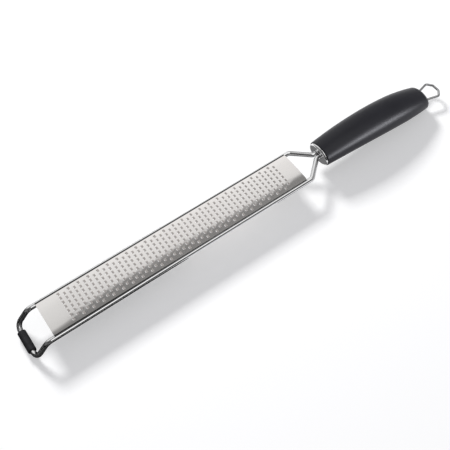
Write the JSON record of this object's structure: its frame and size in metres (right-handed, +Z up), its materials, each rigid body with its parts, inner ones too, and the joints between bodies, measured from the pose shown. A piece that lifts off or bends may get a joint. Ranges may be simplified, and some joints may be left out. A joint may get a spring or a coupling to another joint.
{
  "type": "rasp zester",
  "caption": "Long rasp zester: a toothed steel sheet welded on a bent wire frame, with a rubber foot, an oval soft grip closed by a steel cap, and a wire hanging loop.",
  "frame": {"origin": "on the table the tool rests on, under the middle of its overall length and of its width", "axes": "+X from the rubber foot to the hanging loop, +Z up out of the toothed face, +Y across the blade"},
  "size_m": [0.4014, 0.0348, 0.0266],
  "materials": {
    "bright_rod": "polished",
    "etched_sheet": "bright satin",
    "weld_metal": "dull",
    "foot_rubber": "matte black",
    "cap_metal": "polished",
    "core_plastic": "moulded",
    "grip_rubber": "soft-touch black",
    "loop_rod": "polished"
  },
  "bodies": {
    "root": {"wire_frame": "bright_rod", "rasp_blade": "etched_sheet", "blade_welds": "weld_metal", "foot_sleeve": "foot_rubber", "front_cap": "cap_metal", "grip_core": "core_plastic", "grip_sleeve": "grip_rubber", "hanging_loop": "loop_rod"}
  },
  "joints": []
}
